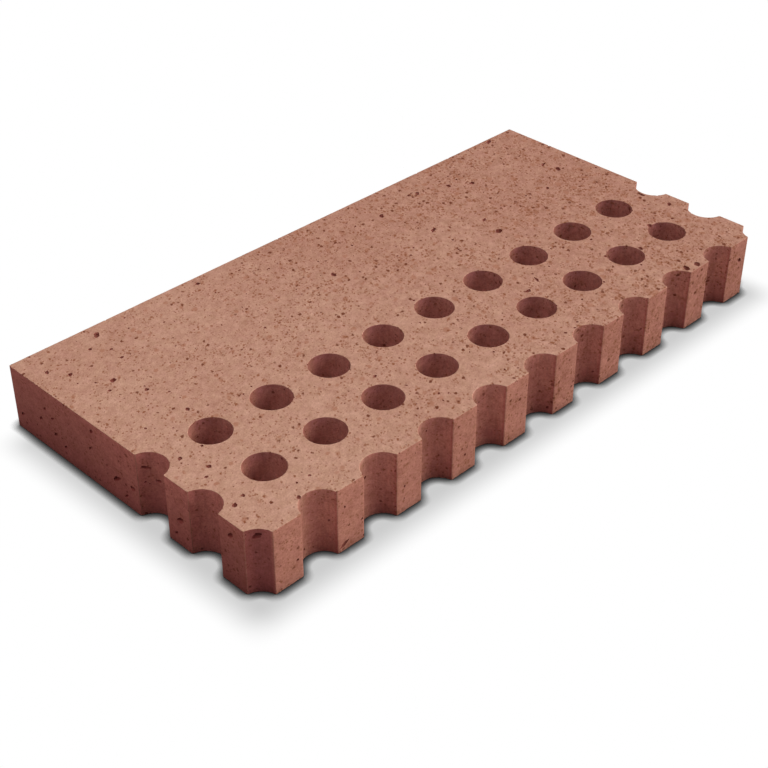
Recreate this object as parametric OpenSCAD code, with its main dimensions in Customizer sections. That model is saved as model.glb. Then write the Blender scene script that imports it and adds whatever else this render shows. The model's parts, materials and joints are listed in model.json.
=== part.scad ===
// Perforated border tile of fired clay, one solid slab.
// The back half is plain. The front half carries a square grid of round through holes that runs on
// into the joints: the last row and the end columns are centred on the joints' middle lines, so each
// edge there shows a run of near half-round notches that the neighbouring tile completes.
// Origin at the middle of the underside, +X along the border, +Y towards the plain back edge, +Z up.

/* [Slab] */
// Length of the tile along the border
tile_length = 595; // [295:5:895]
// Width of the tile across the border
tile_width = 295; // [235:5:495]
// Thickness of the tile
tile_thickness = 58; // [20:1:80]
// Chamfer that eases the slab's outer edges
arris_chamfer = 0.8; // [0.2:0.1:3]

/* [Laying] */
// Width of the joint to each neighbouring tile
joint_width = 5; // [0:1:12]

/* [Holes] */
// Diameter of each hole and of the circle behind each edge notch
hole_diameter = 33.6; // [20:0.2:44]
// Spacing of the rows, and the spacing that the columns keep as nearly as whole numbers allow
hole_pitch = 60; // [50:1:80]
// Rows of full holes between the plain half and the notched front edge
full_rows = 2; // [1:1:3]
// Chamfer around the rim of each hole, at both faces
rim_chamfer = 0.6; // [0.2:0.1:2]

/* [Hidden] */
$fn = 96;
// Length by which each cutter runs past a face that it cuts
overcut = 1;
terracotta = "#B68471";

// Module: the tile with half a joint all round
module_length = tile_length + joint_width;
module_width = tile_width + joint_width;

// A whole number of columns fills the module, so the grid runs on through the joints
columns = round(module_length / hole_pitch);
column_pitch = module_length / columns;

function column_x(column) = column * column_pitch - module_length / 2;

function row_y(row) = row * hole_pitch - module_width / 2;

// Rectangle centred on the origin with its four corners cut at 45 degrees
module cut_corner_rectangle(size_x, size_y, corner_cut) {
  half_x = size_x / 2;
  half_y = size_y / 2;
  polygon([
    [half_x, half_y - corner_cut],
    [half_x - corner_cut, half_y],
    [corner_cut - half_x, half_y],
    [-half_x, half_y - corner_cut],
    [-half_x, corner_cut - half_y],
    [corner_cut - half_x, -half_y],
    [half_x - corner_cut, -half_y],
    [half_x, corner_cut - half_y],
  ]);
}

// Plain slab with all twelve of its edges chamfered, standing on the origin plane
module slab() {
  translate([0, 0, tile_thickness / 2])
    intersection() {
      linear_extrude(height = tile_thickness, center = true)
        cut_corner_rectangle(tile_length, tile_width, arris_chamfer);
      rotate([90, 0, 0])
        linear_extrude(height = tile_width, center = true)
          cut_corner_rectangle(tile_length, tile_thickness, arris_chamfer);
      rotate([90, 0, 90])
        linear_extrude(height = tile_length, center = true)
          cut_corner_rectangle(tile_width, tile_thickness, arris_chamfer);
    }
}

// Flare that chamfers a rim: it opens upwards from the hole's own radius and runs past the face
module rim_flare() {
  flare_height = rim_chamfer + overcut;
  radius = hole_diameter / 2;
  translate([0, 0, -rim_chamfer])
    cylinder(h = flare_height, r1 = radius, r2 = radius + flare_height);
}

// Cutter for one hole right through the slab, with a flare at each face
module hole_cutter() {
  translate([0, 0, -overcut])
    cylinder(h = tile_thickness + 2 * overcut, d = hole_diameter);
  translate([0, 0, tile_thickness])
    rim_flare();
  mirror([0, 0, 1])
    rim_flare();
}

// Slab with the whole grid cut out of it, the half-open edge notches included
module border_tile() {
  color(terracotta)
    difference() {
      slab();
      for (row = [0 : full_rows])
        for (column = [0 : columns])
          translate([column_x(column), row_y(row), 0])
            hole_cutter();
    }
}

border_tile();
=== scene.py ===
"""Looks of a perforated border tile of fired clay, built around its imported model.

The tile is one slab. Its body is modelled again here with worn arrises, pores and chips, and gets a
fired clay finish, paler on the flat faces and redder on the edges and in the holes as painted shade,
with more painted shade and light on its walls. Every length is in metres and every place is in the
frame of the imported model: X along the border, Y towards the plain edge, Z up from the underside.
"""

import json
import logging
import math
from collections.abc import Sequence
from dataclasses import dataclass, field
from enum import Enum
from functools import lru_cache

import bmesh
import bpy
import numpy as np
from mathutils import Matrix, Vector, noise
from mathutils.geometry import delaunay_2d_cdt
from mathutils.kdtree import KDTree


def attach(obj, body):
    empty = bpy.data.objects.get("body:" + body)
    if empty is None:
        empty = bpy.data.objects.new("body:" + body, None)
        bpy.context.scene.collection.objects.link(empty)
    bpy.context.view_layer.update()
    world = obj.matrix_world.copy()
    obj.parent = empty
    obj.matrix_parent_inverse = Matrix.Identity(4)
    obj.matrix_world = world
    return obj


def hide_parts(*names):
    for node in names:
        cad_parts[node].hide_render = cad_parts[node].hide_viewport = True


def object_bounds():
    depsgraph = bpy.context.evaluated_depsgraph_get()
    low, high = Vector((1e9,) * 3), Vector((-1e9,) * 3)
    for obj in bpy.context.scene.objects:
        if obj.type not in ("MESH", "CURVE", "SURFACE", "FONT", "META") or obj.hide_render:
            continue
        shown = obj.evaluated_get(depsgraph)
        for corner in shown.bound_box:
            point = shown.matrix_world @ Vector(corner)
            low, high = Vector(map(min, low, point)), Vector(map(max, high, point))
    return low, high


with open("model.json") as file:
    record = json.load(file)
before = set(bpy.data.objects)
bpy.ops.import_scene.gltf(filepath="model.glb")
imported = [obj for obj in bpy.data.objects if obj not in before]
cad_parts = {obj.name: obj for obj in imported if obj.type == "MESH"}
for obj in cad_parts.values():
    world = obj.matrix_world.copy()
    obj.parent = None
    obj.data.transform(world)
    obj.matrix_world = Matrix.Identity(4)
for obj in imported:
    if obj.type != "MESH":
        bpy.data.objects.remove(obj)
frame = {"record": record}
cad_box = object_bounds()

MM = 0.001
HAIR = 0.01 * MM
CAD_NODE = "border_tile"

Socket = bpy.types.NodeSocket
Colour = tuple[float, float, float, float]
Triple = tuple[float, float, float]
Span = tuple[float, float]

log = logging.getLogger("border_tile")


def srgb(red: float, green: float, blue: float) -> Colour:
    """Turn a colour as it is seen into the linear one that a shader takes.

    Args:
        red: Red, from 0 to 255.
        green: Green, from 0 to 255.
        blue: Blue, from 0 to 255.

    Returns:
        The linear red, green and blue, with an alpha of 1.
    """
    linear = []
    for level in (red, green, blue):
        share = level / 255
        linear.append(share / 12.92 if share <= 0.04045 else ((share + 0.055) / 1.055) ** 2.4)
    return (*linear, 1.0)


def smooth_step(values: np.ndarray | float, start: float, end: float) -> np.ndarray:
    """Rise smoothly from 0 at the start to 1 at the end."""
    shares = np.clip((values - start) / (end - start), 0, 1)
    return shares * shares * (3 - 2 * shares)


def placed(name: str, data: bpy.types.ID) -> bpy.types.Object:
    """Put an object into the scene.

    Args:
        name: Its name.
        data: The mesh, lamp or camera that it holds.

    Returns:
        The new object.
    """
    thing = bpy.data.objects.new(name, data)
    bpy.context.scene.collection.objects.link(thing)
    return thing


def read(items: bpy.types.bpy_prop_collection, key: str, kind: type = np.float64,
         width: int = 1) -> np.ndarray:
    """Read one value of every point, edge, face or corner of a mesh.

    Args:
        items: The mesh's points, edges, faces or corners, or what an attribute says of them.
        key: The value's name.
        kind: The kind of number that it is made of.
        width: How many numbers it is made of.

    Returns:
        One number for each item, or one row of numbers where the value is made of more.
    """
    values = np.empty((len(items), width), kind)
    items.foreach_get(key, values.ravel())
    return values if width > 1 else values[:, 0]


def sorted_places(places: Sequence[Vector]) -> KDTree:
    """Sort places in space.

    Args:
        places: The places.

    Returns:
        A tree that finds the number of the place nearest to any spot.
    """
    tree = KDTree(len(places))
    for number, place in enumerate(places):
        tree.insert(place, number)
    tree.balance()
    return tree


class Trait(Enum):
    """What a mesh says of its clay and of the shade and light painted on its walls, as the name, what it is
    said of and the kind of value.
    """

    WORN = ("worn", "POINT", "FLOAT")
    BORED = ("bored", "POINT", "FLOAT")
    LOST = ("lost", "POINT", "FLOAT_VECTOR")
    HOLLOW = ("hollow", "FACE", "FLOAT")

    @property
    def form(self) -> tuple[str, int]:
        """The word that its value goes by, and how many numbers that has."""
        return ("vector", 3) if self.value[2] == "FLOAT_VECTOR" else ("value", 1)

    def write(self, mesh: bpy.types.Mesh, values: Sequence[float] | np.ndarray) -> None:
        """Say it of a mesh.

        Args:
            mesh: The mesh.
            values: One number, or one row of three, for each point or face.
        """
        name, domain, kind = self.value
        held = mesh.attributes.get(name) or mesh.attributes.new(name, kind, domain)
        held.data.foreach_set(self.form[0], np.array(values, np.float32).ravel())

    def read(self, mesh: bpy.types.Mesh) -> np.ndarray:
        """Give what a mesh says, as one row of numbers for each point or face.

        Args:
            mesh: The mesh.

        Returns:
            The rows, each of one number or of three.
        """
        key, width = self.form
        values = read(mesh.attributes[self.value[0]].data, key, np.float32, width)
        return values.reshape(-1, width)


ON_POINTS = (Trait.WORN, Trait.BORED, Trait.LOST)


def in_hollows(mesh: bpy.types.Mesh) -> np.ndarray:
    """Say of each face whether it lies in a pit."""
    return Trait.HOLLOW.read(mesh)[:, 0] > 0.5


# ---------------------------------------------------------------------------------------------------
# Sizes
# ---------------------------------------------------------------------------------------------------


@dataclass(frozen=True)
class TileSizes:
    """The tile's box and its grid of holes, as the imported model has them."""

    low: np.ndarray
    high: np.ndarray
    hole_radius: float
    column_x: tuple[float, ...]
    row_y: tuple[float, ...]

    @classmethod
    def from_record(cls, record: dict, low: Vector, high: Vector) -> "TileSizes":
        """Work the grid out from the stated holes.

        Args:
            record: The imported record, whose mounts name holes by row and by column.
            low: Lowest corner of the tile.
            high: Highest corner of the tile.

        Returns:
            The sizes, with the half-open columns and row outside the tile's edges among them.
        """
        mounts = {mount["name"]: mount for mount in record["mounts"]}
        first, second = mounts["back_hole_1"], mounts["back_hole_2"]
        pitch = second["pos_m"][0] - first["pos_m"][0]
        start = first["pos_m"][0] - pitch
        count = round(-2 * start / pitch)
        columns = tuple(start + pitch * k for k in range(count + 1))
        back = first["pos_m"][1]
        front = mounts["front_hole_1"]["pos_m"][1]
        rows = (2 * front - back, front, back)
        radius = first["dims"]["r_mm"] * MM
        return cls(np.array(low), np.array(high), radius, columns, rows)

    @property
    def crossings(self) -> list[tuple[float, float]]:
        """Centres of all holes, the half-open ones among them, column by column."""
        return [(x, y) for x in self.column_x for y in self.row_y]

    @property
    def full_holes(self) -> list[tuple[float, float]]:
        """Centres of the holes that lie wholly inside the tile."""
        return [(x, y) for y in self.row_y[1:] for x in self.column_x[1:-1]]


# ---------------------------------------------------------------------------------------------------
# Outlines
# ---------------------------------------------------------------------------------------------------


@dataclass(frozen=True)
class Contour:
    """A closed line in plan, with the solid on its left.

    Each point has a unit direction out of the solid, and says whether a cutter of the holes made it.
    """

    points: np.ndarray
    outward: np.ndarray
    bored: np.ndarray
    closed_hole: bool = False

    @property
    def reach(self) -> np.ndarray:
        """How far along the line each point is from the first, and last of all the line's whole length."""
        steps = np.linalg.norm(np.roll(self.points, -1, axis=0) - self.points, axis=1)
        return np.concatenate([[0.0], np.cumsum(steps)])


@dataclass(frozen=True)
class Side:
    """One straight side of the slab in plan: the way it runs, and the way out of the solid."""

    along: np.ndarray
    out: np.ndarray


@dataclass(frozen=True)
class Arc:
    """Part of a circle in plan. It bulges out of the solid if convex, and into it if not."""

    centre: np.ndarray
    radius: float
    start: float
    end: float
    convex: bool
    fewest_steps: int = 4

    def sample(self, step: float) -> tuple[np.ndarray, np.ndarray]:
        """Place points along the arc, both ends among them.

        Args:
            step: The greatest distance between neighbours.

        Returns:
            The points and their outward directions.
        """
        length = abs(self.end - self.start) * self.radius
        count = max(self.fewest_steps, math.ceil(length / step))
        spokes = spokes_at(np.linspace(self.start, self.end, count + 1))
        return self.centre + self.radius * spokes, spokes if self.convex else -spokes


def spokes_at(angles: np.ndarray) -> np.ndarray:
    """Give the unit directions in plan at some angles."""
    return np.stack([np.cos(angles), np.sin(angles)], axis=1)


def heading(direction: np.ndarray) -> float:
    """Angle of a direction in plan, in radians."""
    return math.atan2(direction[1], direction[0])


def arc_between(centre: np.ndarray, radius: float, start: np.ndarray, end: np.ndarray, convex: bool) -> Arc:
    """Make the arc that turns the right way from one direction to another.

    Args:
        centre: Centre of its circle.
        radius: Radius of its circle.
        start: Direction from the centre to where it starts.
        end: Direction from the centre to where it ends.
        convex: Whether it bulges out of the solid.

    Returns:
        The arc, turning to the left if convex and to the right if not.
    """
    first, last = heading(start), heading(end)
    if convex and last < first:
        last += 2 * math.pi
    if not convex and last > first:
        last -= 2 * math.pi
    return Arc(centre, radius, first, last, convex)


@dataclass(frozen=True)
class PlanTracer:
    """Traces the slab's outline, with its bites and eased upright arrises, and the rims of its holes."""

    sizes: TileSizes
    upright_radius: float = 1.2 * MM
    step: float = 1.7 * MM

    def bite(self, centre: np.ndarray, before: Side, after: Side) -> list[Arc]:
        """Trace where a circle that is centred just outside the slab cuts into it.

        Args:
            centre: The circle's centre.
            before: The side that the line comes along.
            after: The side that it leaves along, which is another one at a corner.

        Returns:
            A small rounding, the bitten wall, and a small rounding.
        """
        eased = []
        for side, turn in ((before, -1), (after, 1)):
            outside = float((centre - self.edge_point(side)) @ side.out)
            deep = outside + self.upright_radius
            reach = self.sizes.hole_radius + self.upright_radius
            across = math.sqrt(reach**2 - deep**2)
            eased.append(centre - deep * side.out + turn * across * side.along)
        first, last = eased
        return [
            arc_between(first, self.upright_radius, before.out, centre - first, True),
            arc_between(centre, self.sizes.hole_radius, first - centre, last - centre, False),
            arc_between(last, self.upright_radius, centre - last, after.out, True),
        ]

    def edge_point(self, side: Side) -> np.ndarray:
        """Give a point that a side's line goes through."""
        low = np.where(side.out < -0.5, self.sizes.low[:2], 0.0)
        return np.where(side.out > 0.5, self.sizes.high[:2], low)

    def outline(self) -> Contour:
        """Trace the whole outline, counter-clockwise from the back left corner.

        Returns:
            The closed contour.
        """
        left = Side(np.array([0.0, -1.0]), np.array([-1.0, 0.0]))
        front = Side(np.array([1.0, 0.0]), np.array([0.0, -1.0]))
        right = Side(np.array([0.0, 1.0]), np.array([1.0, 0.0]))
        back = Side(np.array([-1.0, 0.0]), np.array([0.0, 1.0]))
        x, y = self.sizes.column_x, self.sizes.row_y
        bites = [(x[0], row, left, left) for row in reversed(y[1:])]
        bites.append((x[0], y[0], left, front))
        bites += [(column, y[0], front, front) for column in x[1:-1]]
        bites.append((x[-1], y[0], front, right))
        bites += [(x[-1], row, right, right) for row in y[1:]]
        arcs = []
        for column, row, before, after in bites:
            arcs += self.bite(np.array([column, row]), before, after)
        for before, after in ((right, back), (back, left)):
            corner = self.edge_point(before) + self.edge_point(after)
            centre = corner - self.upright_radius * (before.out + after.out)
            arcs.append(arc_between(centre, self.upright_radius, before.out, after.out, True))
        return self.joined(arcs)

    def joined(self, arcs: list[Arc]) -> Contour:
        """String arcs together with straight stretches between them.

        Args:
            arcs: The arcs in order.

        Returns:
            The closed contour.
        """
        points, outward, bored = [], [], []
        sampled = [arc.sample(self.step) for arc in arcs]
        for arc, (spots, ways), (next_spots, _) in zip(arcs, sampled, sampled[1:] + sampled[:1]):
            gap = next_spots[0] - spots[-1]
            length = float(np.linalg.norm(gap))
            kept = len(spots) - (length < HAIR)
            points.append(spots[:kept])
            outward.append(ways[:kept])
            bored.append(np.full(kept, not arc.convex))
            if kept == len(spots):
                count = math.ceil(length / self.step)
                shares = np.arange(1, count)[:, None] / count
                points.append(spots[-1] + shares * gap)
                outward.append(np.repeat(ways[-1:], count - 1, axis=0))
                bored.append(np.full(count - 1, False))
        return Contour(np.concatenate(points), np.concatenate(outward), np.concatenate(bored))

    def hole(self, centre: tuple[float, float]) -> Contour:
        """Trace a full hole clockwise, so that the solid is on the line's left.

        Args:
            centre: The hole's centre in plan.

        Returns:
            The closed contour.
        """
        count = math.ceil(2 * math.pi * self.sizes.hole_radius / self.step)
        spokes = spokes_at(-np.arange(count) * 2 * math.pi / count)
        points = np.array(centre) + self.sizes.hole_radius * spokes
        return Contour(points, -spokes, np.full(count, True), True)

    def contours(self) -> list[Contour]:
        """Trace the outline first, and then every full hole."""
        return [self.outline()] + [self.hole(centre) for centre in self.sizes.full_holes]


# ---------------------------------------------------------------------------------------------------
# Body
# ---------------------------------------------------------------------------------------------------


@dataclass(frozen=True)
class WornArris:
    """A rounded edge whose radius wanders slowly, and quickly, as handling wears it."""

    radius: float
    least: float
    most: float
    segments: int = 3
    wander: float = 9 * MM
    wander_share: float = 0.45
    nibble: float = 2.2 * MM
    nibble_share: float = 0.2

    def radii(self, contour: Contour, height: float) -> np.ndarray:
        """Give the radius at each point of a contour.

        Args:
            contour: The line that the edge follows in plan.
            height: The face's height, which keeps the two faces' wear apart.

        Returns:
            One radius per point.
        """
        found = []
        for x, y in contour.points:
            slow = noise.noise(Vector((x, y, height)) / self.wander)
            quick = noise.noise(Vector((x, y, height + 1)) / self.nibble)
            found.append(self.radius * (1 + self.wander_share * slow + self.nibble_share * quick))
        return np.clip(found, self.least, self.most)


@dataclass(frozen=True)
class PaintedWallShading:
    """How much red, green and blue the walls lose to painted shade; a loss below 0 is painted light.

    The walls that face the left end take the deepest, reddest painted shade, its corner bite above all,
    and the bites along the front take a painted shade hue on the side that looks that way. A loss below 0
    is a gain. A turn is how far a wall looks towards the left end, or to the front, where a loss sets in
    and where it is full. A rise is the same for the height on the wall, from 0 at the base to 1 at the top.
    """

    near_side: float = 20 * MM
    # Painted shade on the walls that face the left end: darker and redder, least so near the middle of that
    # end.
    end_face: Triple = (-0.04, 0.21, 0.12)
    end_turn: Span = (0.5, 0.95)
    end_gain: float = 1.03
    fair_middle: float = -28 * MM
    fair_reach: Span = (25 * MM, 100 * MM)
    fair_gain: float = 0.17
    # Painted shade in the bites: a hue change in the left end's bites, darker and redder in its corner
    # bite, slight in the front bites.
    end_bites: Triple = (-0.17, 0.06, -0.06)
    corner_bite: Triple = (0.18, 0.42, 0.30)
    front_bites: Triple = (-0.04, 0.06, -0.02)
    front_turn: Span = (-0.2, 0.3)
    # Painted light in the holes: a bluish lift on the walls that face the left end.
    holes: Triple = (-0.09, -0.03, -0.18)
    holes_turn: Span = (-0.25, 0.15)
    # Painted shade just under the rims, on the front-facing walls of holes and of the left end's bites.
    under_rims: Triple = (0.34, 0.40, 0.38)
    rims_turn: Span = (0.4, 0.85)
    rims_above: float = 0.9
    bite_rims_share: float = 0.5
    # Painted shade: darker and redder towards the bottom of the walls that face the left end.
    base: Triple = (0.11, 0.23, 0.17)
    base_turn: Span = (0.1, 0.7)
    base_rise: Span = (0.0, 0.6)
    # Painted light: lighter at the top of the walls that face the left end.
    brow: Triple = (-0.08, -0.07, -0.07)
    brow_turn: Span = (0.6, 0.95)
    brow_rise: Span = (0.5, 0.75)
    # Painted light: lighter low down on the front-facing walls of the left end's bites.
    cheeks: Triple = (-0.18, -0.17, -0.2)
    cheeks_turn: Span = (0.78, 0.92)
    cheeks_rise: Span = (0.5, 0.85)
    # Painted shade, mostly taking red, on the lit tops of the front bites' walls that face right.
    crescents: Triple = (0.11, 0.03, 0.02)
    crescents_turn: Span = (-0.2, 0.3)
    crescents_rise: Span = (0.6, 1.0)
    # Painted shade on the front-facing middle of the front bites, higher up.
    dusk: Triple = (0.07, 0.07, 0.07)
    dusk_turn: Span = (-0.35, -0.1)
    dusk_end: Span = (0.15, 0.4)
    dusk_rise: Span = (0.2, 0.5)

    def plan_loss(self, contour: Contour, sizes: TileSizes) -> np.ndarray:
        """Work out the painted shade and light that holds all the way up a wall.

        Args:
            contour: The wall's line in plan.
            sizes: The tile's box.

        Returns:
            The loss of red, green and blue at each point.
        """
        faces_left = -contour.outward[:, 0]
        # Holes take painted light on their walls that face the left end.
        if contour.closed_hole:
            return smooth_step(faces_left, *self.holes_turn)[:, None] * np.array(self.holes)
        at_end, at_front = self.at_end(contour, sizes), self.at_front(contour, sizes)
        # Painted shade on the walls that face the left end, least near its middle, and a painted shade hue
        # in the bites.
        from_middle = np.abs(contour.points[:, 1] - self.fair_middle)
        gain = self.end_gain + self.fair_gain * (0.5 - smooth_step(from_middle, *self.fair_reach))
        end_loss = 1 - (1 - np.array(self.end_face)) * gain[:, None]
        loss = (~contour.bored * smooth_step(faces_left, *self.end_turn))[:, None] * end_loss
        for mask, bite_loss in (
            (at_end * (1 - at_front), self.end_bites),
            (at_end * at_front, self.corner_bite),
            (at_front * (1 - at_end) * smooth_step(faces_left, *self.front_turn), self.front_bites),
        ):
            loss += mask[:, None] * np.array(bite_loss)
        return loss

    def at_end(self, contour: Contour, sizes: TileSizes) -> np.ndarray:
        """Say which points lie in the bites of the left end, as 1 or 0."""
        return (contour.bored & (contour.points[:, 0] < sizes.low[0] + self.near_side)).astype(float)

    def at_front(self, contour: Contour, sizes: TileSizes) -> np.ndarray:
        """Say which points lie in the bites along the front, as 1 or 0."""
        return (contour.bored & (contour.points[:, 1] < sizes.low[1] + self.near_side)).astype(float)

    def loss_at(self, contour: Contour, sizes: TileSizes, plan: np.ndarray, share: float) -> np.ndarray:
        """Add the painted shade and light that changes with height to what holds all the way up.

        Args:
            contour: The wall's line in plan.
            sizes: The tile's box.
            plan: The loss at each of its points that holds all the way up.
            share: How high the ring is, from 0 at the base to 1 under the top.

        Returns:
            The loss of red, green and blue at each point.
        """
        faces_left, faces_front = -contour.outward.T
        # Painted shade just under the rims, on walls that face the front.
        rims = smooth_step(faces_front, *self.rims_turn) * float(share > self.rims_above)
        if contour.closed_hole:
            return plan + rims[:, None] * np.array(self.under_rims)
        at_end, at_front = self.at_end(contour, sizes), self.at_front(contour, sizes)
        low = 1 - smooth_step(share, *self.base_rise)
        cheeks = at_end * (1 - at_front) * smooth_step(faces_front, *self.cheeks_turn)
        front = at_front * (1 - at_end)
        crescents = front * smooth_step(-faces_left, *self.crescents_turn)
        turning = smooth_step(faces_left, *self.dusk_turn) * (1 - smooth_step(faces_left, *self.dusk_end))
        # Painted shade towards the base, under the bite rims and in the front bites, and painted light at
        # the brow and in the cheeks.
        kept = 1 - plan
        for mask, loss in (
            (low * smooth_step(faces_left, *self.base_turn), self.base),
            (smooth_step(share, *self.brow_rise) * smooth_step(faces_left, *self.brow_turn), self.brow),
            (self.bite_rims_share * at_end * rims, self.under_rims),
            (cheeks * (1 - smooth_step(share, *self.cheeks_rise)), self.cheeks),
            (crescents * smooth_step(share, *self.crescents_rise), self.crescents),
            (front * turning * smooth_step(share, *self.dusk_rise), self.dusk),
        ):
            kept = kept * (1 - mask[:, None] * np.array(loss))
        return 1 - kept


@dataclass
class TileBody:
    """The slab with its holes, bites and worn arrises, before pores are cut into it."""

    sizes: TileSizes
    painted_shading: PaintedWallShading = PaintedWallShading()
    top_arris: WornArris = WornArris(0.38 * MM, 0.2 * MM, 0.8 * MM)
    bottom_arris: WornArris = WornArris(0.7 * MM, 0.35 * MM, 1.1 * MM)
    wall_rings: int = 5
    dent_depth: float = 0.12 * MM
    dent_width: float = 18 * MM
    face_grid: float = 14 * MM
    rim_clearance: float = 5 * MM
    points: list = field(default_factory=list)
    faces: list = field(default_factory=list)
    smooth: list = field(default_factory=list)
    said: dict = field(default_factory=lambda: {trait: [] for trait in ON_POINTS})

    def stack(self, contour: Contour) -> list[list[int]]:
        """Raise a contour's wall from the underside to the top, with an arris at each end.

        Args:
            contour: The wall's line in plan.

        Returns:
            The point numbers of each ring, from the lowest to the highest.
        """
        floor, roof = float(self.sizes.low[2]), float(self.sizes.high[2])
        below = self.bottom_arris.radii(contour, floor)
        above = self.top_arris.radii(contour, roof)
        turns = np.linspace(0, math.pi / 2, self.top_arris.segments + 1)
        levels = []
        for turn in turns[::-1]:
            levels.append((below * (1 - math.cos(turn)), floor + below * (1 - math.sin(turn)), turn))
        start, end = levels[-1][1], roof - above
        for ring in range(1, self.wall_rings + 1):
            height = start + (end - start) * ring / (self.wall_rings + 1)
            levels.append((self.dents(contour, height), height, 0.0))
        for turn in turns:
            levels.append((above * (1 - math.cos(turn)), end + above * math.sin(turn), turn))
        rings = []
        plan_loss = self.painted_shading.plan_loss(contour, self.sizes)
        for inset, height, turn in levels:
            spots = contour.points - contour.outward * inset[:, None]
            rings.append(list(range(len(self.points), len(self.points) + len(spots))))
            self.points += [(x, y, z) for (x, y), z in zip(spots, height)]
            share = float(np.mean(height) - floor) / (roof - floor)
            self.said[Trait.WORN].append(np.full((len(spots), 1), math.sin(2 * turn)))
            self.said[Trait.BORED].append(contour.bored[:, None])
            self.said[Trait.LOST].append(self.painted_shading.loss_at(contour, self.sizes, plan_loss, share))
        return rings

    def dents(self, contour: Contour, height: np.ndarray) -> np.ndarray:
        """Give how far a wall lies behind its true plane at one ring.

        Args:
            contour: The wall's line in plan.
            height: The ring's height at each of its points.

        Returns:
            The depth at each point.
        """
        found = []
        for (x, y), z in zip(contour.points, height):
            found.append(0.5 + 0.5 * noise.noise(Vector((x, y, z)) / self.dent_width))
        return np.clip(found, 0, 1) * self.dent_depth

    def skin(self, rings: list[list[int]]) -> None:
        """Join each ring to the next with four-sided faces.

        Args:
            rings: The point numbers of each ring, from the lowest to the highest.
        """
        for lower, upper in zip(rings, rings[1:]):
            for here in range(len(lower)):
                there = (here + 1) % len(lower)
                self.faces.append((lower[here], lower[there], upper[there], upper[here]))
                self.smooth.append(True)

    def cap(self, loops: list[list[int]], height: float, upwards: bool) -> None:
        """Close the slab with one flat face, pierced by the holes.

        Args:
            loops: Point numbers of the outline's ring and of each hole's ring at this face.
            height: The face's height.
            upwards: Whether the face looks up.
        """
        numbers = [number for loop in loops for number in loop]
        flat = [Vector(self.points[number][:2]) for number in numbers]
        edges, start = [], 0
        for loop in loops:
            count = len(loop)
            edges += [(start + here, start + (here + 1) % count) for here in range(count)]
            start += count
        grid = self.inner_points(np.array(flat))
        for spot in grid:
            flat.append(Vector(spot))
            numbers.append(len(self.points))
            self.points.append((*spot, height))
        for trait, rows in self.said.items():
            rows.append(np.zeros((len(grid), trait.form[1])))
        only_inside, closeness = 1, 1e-9
        _, _, triangles, sources, _, _ = delaunay_2d_cdt(flat, edges, [], only_inside, closeness)
        owner = np.concatenate([np.full(len(loop), number) for number, loop in enumerate(loops)])
        for triangle in triangles:
            corners = [sources[corner][0] for corner in triangle]
            if self.spans_hole(corners, owner, flat):
                continue
            named = [numbers[corner] for corner in corners]
            self.faces.append(tuple(named if upwards else reversed(named)))
            self.smooth.append(False)

    def spans_hole(self, corners: list[int], owner: np.ndarray, flat: list[Vector]) -> bool:
        """Say whether a triangle lies in the opening of a hole.

        Args:
            corners: Its three corners, numbered along the loops.
            owner: Which loop each corner number belongs to, 0 being the outline.
            flat: Every corner's place in plan.

        Returns:
            True if all three lie on one hole's rim and go round it the way the rim goes.
        """
        if max(corners) >= len(owner) or owner[corners[0]] == 0 or len(set(owner[corners])) > 1:
            return False
        first, second, third = (flat[corner] for corner in sorted(corners))
        return (second - first).cross(third - first) < 0

    def inner_points(self, rims: np.ndarray) -> list[tuple[float, float]]:
        """Spread a loose grid of points over a flat face, clear of its rims and outside edges.

        Args:
            rims: The points of every rim and edge, in plan.

        Returns:
            The points of the grid, in plan.
        """
        spots = []
        low, high = self.sizes.low[:2] + self.rim_clearance, self.sizes.high[:2] - self.rim_clearance
        centres = np.array(self.sizes.crossings)
        clear = self.sizes.hole_radius + self.rim_clearance
        for x in np.arange(low[0], high[0], self.face_grid):
            for y in np.arange(low[1], high[1], self.face_grid):
                from_holes = np.hypot(centres[:, 0] - x, centres[:, 1] - y).min()
                from_rims = np.hypot(rims[:, 0] - x, rims[:, 1] - y).min()
                if from_holes >= clear and from_rims > self.rim_clearance:
                    spots.append((float(x), float(y)))
        return spots

    def build(self) -> bpy.types.Object:
        """Make the slab's mesh.

        Returns:
            The new object, closed, whose points say how worn they are and how much painted shade and light
            their walls take.
        """
        stacks = [self.stack(contour) for contour in PlanTracer(self.sizes).contours()]
        for rings in stacks:
            self.skin(rings)
        self.cap([rings[-1] for rings in stacks], float(self.sizes.high[2]), True)
        self.cap([rings[0] for rings in stacks], float(self.sizes.low[2]), False)
        mesh = bpy.data.meshes.new("tile_body")
        mesh.from_pydata(self.points, [], self.faces)
        mesh.polygons.foreach_set("use_smooth", self.smooth)
        for trait, rows in self.said.items():
            trait.write(mesh, np.concatenate(rows))
        mesh.update()
        return placed("tile_body", mesh)


# ---------------------------------------------------------------------------------------------------
# Pores and chips
# ---------------------------------------------------------------------------------------------------


@dataclass(frozen=True)
class Pit:
    """One hollow to cut: where it is, the way out of the clay there, the way it lies and its size."""

    place: Vector
    out: Vector
    along: Vector
    length: float
    width: float
    depth: float


def turned(out: Vector, angle: float) -> Vector:
    """Give a direction across another one, turned about it by an angle."""
    return Matrix.Rotation(angle, 3, out) @ out.orthogonal().normalized()


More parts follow.
